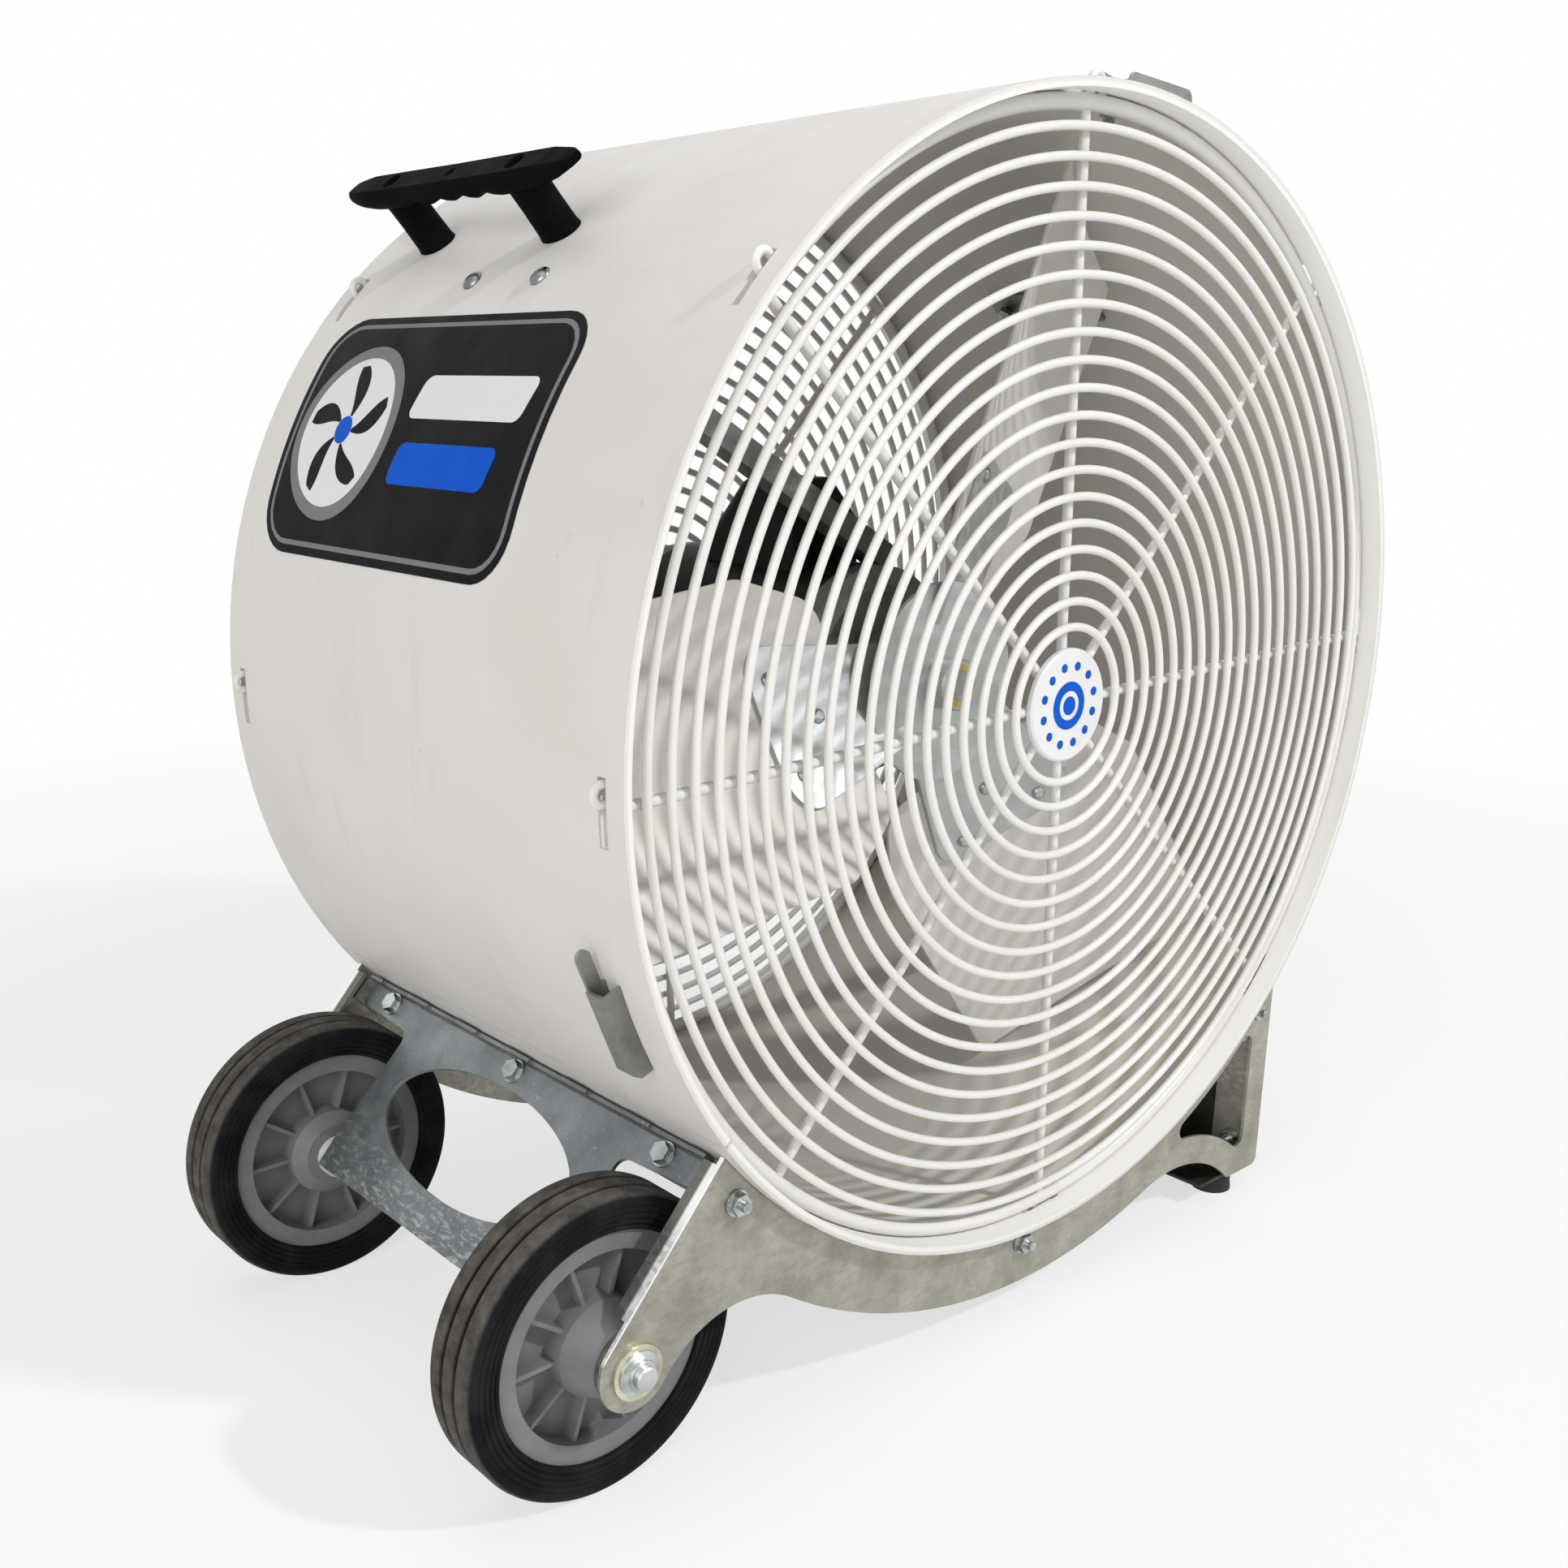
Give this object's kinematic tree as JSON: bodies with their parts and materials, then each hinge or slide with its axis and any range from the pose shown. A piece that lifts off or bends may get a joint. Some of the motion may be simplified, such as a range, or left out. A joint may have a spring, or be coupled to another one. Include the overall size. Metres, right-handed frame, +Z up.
{
  "type": "air circulator fan",
  "caption": "Portable drum fan: a white drum with wire guards and a three-blade rotor, on galvanised end plates with wheels, rubber feet and a carrying handle.",
  "frame": {"origin": "on the floor, in the middle of the overall box", "axes": "+X to the right of the front view, towards the feet; +Y from the front guard to the rear guard, along the fan's axis; +Z up"},
  "size_m": [0.7424, 0.405, 0.7315],
  "materials": {
    "white_shell": "satin",
    "white_wire": "powder coat",
    "disc_plastic": "gloss",
    "galvanised": "galvanised",
    "zinc_bolt": "zinc plated",
    "foot_rubber": "matte",
    "tyre_rubber": "matte",
    "hub_plastic": "matte",
    "bush_plastic": "matte",
    "black_plastic": "matte",
    "motor_black": "satin",
    "motor_grey": "cast",
    "shaft_steel": "ground",
    "yellow_zinc": "yellow zinc",
    "white_blade": "satin"
  },
  "bodies": {
    "frame": {"drum": "white_shell", "front_guard": "white_wire", "rear_guard": "white_wire", "front_guard_disc": "disc_plastic", "rear_guard_disc": "disc_plastic", "front_plate": "galvanised", "rear_plate": "galvanised", "front_plate_clips": "galvanised", "rear_plate_clips": "galvanised", "front_plate_bolts": "zinc_bolt", "rear_plate_bolts": "zinc_bolt", "left_panel": "galvanised", "panel_rail": "galvanised", "panel_bolts": "zinc_bolt", "right_panel": "galvanised", "right_panel_bolts": "zinc_bolt", "front_foot": "foot_rubber", "rear_foot": "foot_rubber", "axle": "zinc_bolt", "axle_nut": "zinc_bolt", "axle_washers": "zinc_bolt", "front_axle_bush": "bush_plastic", "rear_axle_bush": "bush_plastic", "handle": "black_plastic", "left_bracket": "galvanised", "top_bracket": "galvanised", "right_bracket": "galvanised", "motor_shell": "motor_black", "motor_front_bell": "motor_grey", "motor_rear_bell": "motor_grey", "capacitor_cover": "motor_black", "motor_strut_1": "galvanised", "motor_strut_2": "galvanised", "motor_strut_3": "galvanised", "motor_strut_4": "galvanised", "strut_bolts": "zinc_bolt"},
    "rotor": {"motor_shaft": "shaft_steel", "fan_hub": "yellow_zinc", "spider": "galvanised", "blade_1": "white_blade", "blade_2": "white_blade", "blade_3": "white_blade", "blade_rivets": "zinc_bolt"},
    "front_wheel": {"front_tyre": "tyre_rubber", "front_wheel_hub": "hub_plastic"},
    "rear_wheel": {"rear_tyre": "tyre_rubber", "rear_wheel_hub": "hub_plastic"}
  },
  "joints": [
    {"name": "rotor_spin", "type": "hinge", "parent": "frame", "child": "rotor", "pos_m": [0.03398, 0, 0.39012], "axis": [0, 1, 0], "continuous": true},
    {"name": "front_wheel_roll", "type": "hinge", "parent": "frame", "child": "front_wheel", "pos_m": [-0.28538, 0, 0.086], "axis": [0, 1, 0], "continuous": true},
    {"name": "rear_wheel_roll", "type": "hinge", "parent": "frame", "child": "rear_wheel", "pos_m": [-0.28538, 0, 0.086], "axis": [0, 1, 0], "continuous": true}
  ]
}
